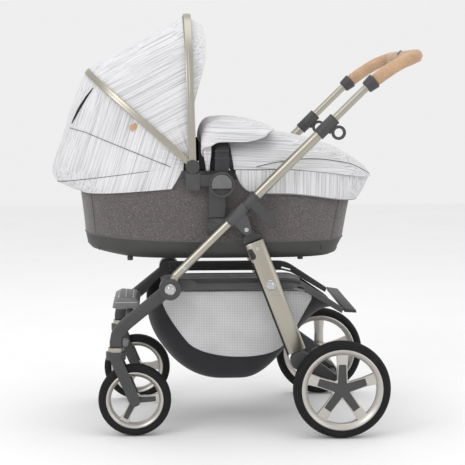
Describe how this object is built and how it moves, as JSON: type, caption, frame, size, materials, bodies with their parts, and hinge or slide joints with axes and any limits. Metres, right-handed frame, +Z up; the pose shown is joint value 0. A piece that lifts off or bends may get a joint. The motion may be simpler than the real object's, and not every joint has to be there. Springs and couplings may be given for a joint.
{
  "type": "baby stroller with carrycot",
  "caption": "Baby stroller: folding four-wheel chassis with swivel front wheels, telescopic handle and basket, and a lift-off carrycot with folding hood and apron.",
  "frame": {"origin": "on the ground, in the middle of the outline seen from above", "axes": "+Z up; -X is the direction of travel and +X the side of the push handle; +Y is the right-hand side"},
  "size_m": [1.0308, 0.602, 1.1681],
  "materials": {
    "champagne_metal": "satin anodised champagne",
    "grey_plastic": "fine moulded texture, mid-dark grey",
    "dark_plastic": "fine moulded texture, dark grey",
    "tyre_rubber": "near-black foam-filled tyre, faint tread",
    "tan_leather": "tan grained leather, stitched on the inside",
    "silver_button": "satin silver-grey",
    "white_fabric": "off-white woven fabric with fine grey streaks",
    "melange_fabric": "brown-grey melange tweed",
    "tray_plastic": "dark grey moulded tray",
    "mesh_fabric": "black trim cloth with light grey mesh panels",
    "mattress_fabric": "white quilted cotton"
  },
  "bodies": {
    "chassis": {"front_leg_left": "grey_plastic", "front_leg_right": "grey_plastic", "side_rail_left": "grey_plastic", "side_rail_right": "grey_plastic", "rear_crossplate": "dark_plastic", "front_crossbar": "grey_plastic", "footplate": "dark_plastic", "basket": "mesh_fabric"},
    "lower_tubes": {"lower_tube_left": "champagne_metal", "lower_tube_right": "champagne_metal"},
    "upper_frame": {"slide_housing_left": "grey_plastic", "slide_housing_right": "grey_plastic", "upper_tube_left": "champagne_metal", "upper_tube_right": "champagne_metal"},
    "handlebar": {"handle_tube": "champagne_metal", "handle_grip": "tan_leather", "grip_collar_left": "grey_plastic", "grip_collar_right": "grey_plastic"},
    "height_button": {"height_button": "silver_button"},
    "rear_legs": {"rear_leg_left": "champagne_metal", "rear_leg_right": "champagne_metal", "leg_bracket_left": "grey_plastic", "leg_bracket_right": "grey_plastic", "axle_housing_left": "grey_plastic", "axle_housing_right": "grey_plastic", "rear_axle": "dark_plastic"},
    "brake_pedal": {"brake_pedal": "dark_plastic"},
    "carrycot": {"cot_tray": "tray_plastic", "cot_shell": "melange_fabric", "mattress": "mattress_fabric", "apron": "white_fabric", "apron_flap": "white_fabric", "carry_handle": "dark_plastic", "cot_side_bracket_left": "grey_plastic", "cot_side_bracket_right": "grey_plastic", "hood_fabric": "white_fabric"},
    "hood_rear_bow": {"hood_bow_rear": "champagne_metal"},
    "hood_front_bow": {"hood_bow_front": "champagne_metal"},
    "fold_lever_left": {"fold_lever_left": "grey_plastic"},
    "ring_trigger_left": {"ring_trigger_left": "grey_plastic"},
    "rear_wheel_left": {"rear_tyre_left": "tyre_rubber", "rear_rim_left": "champagne_metal", "rear_hub_insert_left": "grey_plastic"},
    "caster_left": {"caster_fork_left": "grey_plastic"},
    "front_wheel_left": {"front_tyre_left": "tyre_rubber", "front_rim_left": "champagne_metal", "front_hub_insert_left": "grey_plastic"},
    "swivel_lock_left": {"swivel_lock_left": "silver_button"},
    "cot_button_left": {"cot_button_left": "silver_button"},
    "fold_lever_right": {"fold_lever_right": "grey_plastic"},
    "ring_trigger_right": {"ring_trigger_right": "grey_plastic"},
    "rear_wheel_right": {"rear_tyre_right": "tyre_rubber", "rear_rim_right": "champagne_metal", "rear_hub_insert_right": "grey_plastic"},
    "caster_right": {"caster_fork_right": "grey_plastic"},
    "front_wheel_right": {"front_tyre_right": "tyre_rubber", "front_rim_right": "champagne_metal", "front_hub_insert_right": "grey_plastic"},
    "swivel_lock_right": {"swivel_lock_right": "silver_button"},
    "cot_button_right": {"cot_button_right": "silver_button"}
  },
  "joints": [
    {"name": "frame_fold", "type": "hinge", "parent": "chassis", "child": "rear_legs", "pos_m": [0.097, 0, 0.418], "axis": [0, -1, 0], "range_deg": [0, 68]},
    {"name": "tube_tilt", "type": "hinge", "parent": "chassis", "child": "lower_tubes", "pos_m": [-0.179, 0, 0.411], "axis": [0, 1, 0], "range_deg": [0, 26.14]},
    {"name": "frame_slide", "type": "slide", "parent": "lower_tubes", "child": "upper_frame", "axis": [-0.712, 0, -0.7022], "range_m": [0, 0.1607]},
    {"name": "carrycot_lift", "type": "slide", "parent": "upper_frame", "child": "carrycot", "axis": [0, 0, 1], "range_m": [0, 0.3805]},
    {"name": "handle_slide", "type": "slide", "parent": "upper_frame", "child": "handlebar", "axis": [0.712, 0, 0.7022], "range_m": [-0.09, 0.05]},
    {"name": "height_button_press", "type": "slide", "parent": "handlebar", "child": "height_button", "axis": [0.7022, 0, -0.712], "range_m": [0, 0.003], "stiffness_N_per_m": 800},
    {"name": "brake_press", "type": "hinge", "parent": "rear_legs", "child": "brake_pedal", "pos_m": [0.291, 0, 0.135], "axis": [0, -1, 0], "range_deg": [0, 20]},
    {"name": "hood_rear_fold", "type": "hinge", "parent": "carrycot", "child": "hood_rear_bow", "pos_m": [-0.116, 0, 0.747], "axis": [0, -1, 0], "range_deg": [0, 36], "deforming": ["hood_fabric"]},
    {"name": "hood_front_fold", "type": "hinge", "parent": "hood_rear_bow", "child": "hood_front_bow", "pos_m": [-0.116, 0, 0.747], "axis": [0, -1, 0], "range_deg": [0, 36]},
    {"name": "fold_lever_slide_left", "type": "slide", "parent": "upper_frame", "child": "fold_lever_left", "axis": [0.712, 0, 0.7022], "range_m": [0, 0.015], "stiffness_N_per_m": 400, "springref_m": -0.005},
    {"name": "ring_trigger_slide_left", "type": "slide", "parent": "upper_frame", "child": "ring_trigger_left", "axis": [0.712, 0, 0.7022], "range_m": [0, 0.012], "stiffness_N_per_m": 400, "springref_m": -0.005},
    {"name": "rear_wheel_spin_left", "type": "hinge", "parent": "rear_legs", "child": "rear_wheel_left", "pos_m": [0.291, -0.28, 0.135], "axis": [0, 1, 0], "continuous": true},
    {"name": "caster_swivel_left", "type": "hinge", "parent": "chassis", "child": "caster_left", "pos_m": [-0.329, -0.2255, 0.24], "axis": [0, 0, 1], "continuous": true},
    {"name": "front_wheel_spin_left", "type": "hinge", "parent": "caster_left", "child": "front_wheel_left", "pos_m": [-0.278, -0.2255, 0.1007], "axis": [0, 1, 0], "continuous": true},
    {"name": "swivel_lock_slide_left", "type": "slide", "parent": "chassis", "child": "swivel_lock_left", "axis": [0, -1, 0], "range_m": [0, 0.006]},
    {"name": "cot_button_press_left", "type": "slide", "parent": "carrycot", "child": "cot_button_left", "axis": [0, 1, 0], "range_m": [0, 0.006], "stiffness_N_per_m": 400},
    {"name": "fold_lever_slide_right", "type": "slide", "parent": "upper_frame", "child": "fold_lever_right", "axis": [0.712, 0, 0.7022], "range_m": [0, 0.015], "stiffness_N_per_m": 400, "springref_m": -0.005},
    {"name": "ring_trigger_slide_right", "type": "slide", "parent": "upper_frame", "child": "ring_trigger_right", "axis": [0.712, 0, 0.7022], "range_m": [0, 0.012], "stiffness_N_per_m": 400, "springref_m": -0.005},
    {"name": "rear_wheel_spin_right", "type": "hinge", "parent": "rear_legs", "child": "rear_wheel_right", "pos_m": [0.291, 0.28, 0.135], "axis": [0, 1, 0], "continuous": true},
    {"name": "caster_swivel_right", "type": "hinge", "parent": "chassis", "child": "caster_right", "pos_m": [-0.329, 0.2255, 0.24], "axis": [0, 0, 1], "continuous": true},
    {"name": "front_wheel_spin_right", "type": "hinge", "parent": "caster_right", "child": "front_wheel_right", "pos_m": [-0.278, 0.2255, 0.1007], "axis": [0, 1, 0], "continuous": true},
    {"name": "swivel_lock_slide_right", "type": "slide", "parent": "chassis", "child": "swivel_lock_right", "axis": [0, 1, 0], "range_m": [0, 0.006]},
    {"name": "cot_button_press_right", "type": "slide", "parent": "carrycot", "child": "cot_button_right", "axis": [0, -1, 0], "range_m": [0, 0.006], "stiffness_N_per_m": 400}
  ],
  "couplings": [
    {"joint": "tube_tilt", "follows": "frame_fold", "ratio": 0.38292},
    {"joint": "frame_slide", "follows": "frame_fold", "m_per_rad": 0.13494},
    {"joint": "carrycot_lift", "follows": "frame_fold", "m_per_rad": 0.32018},
    {"joint": "hood_front_fold", "follows": "hood_rear_fold", "ratio": 1}
  ]
}
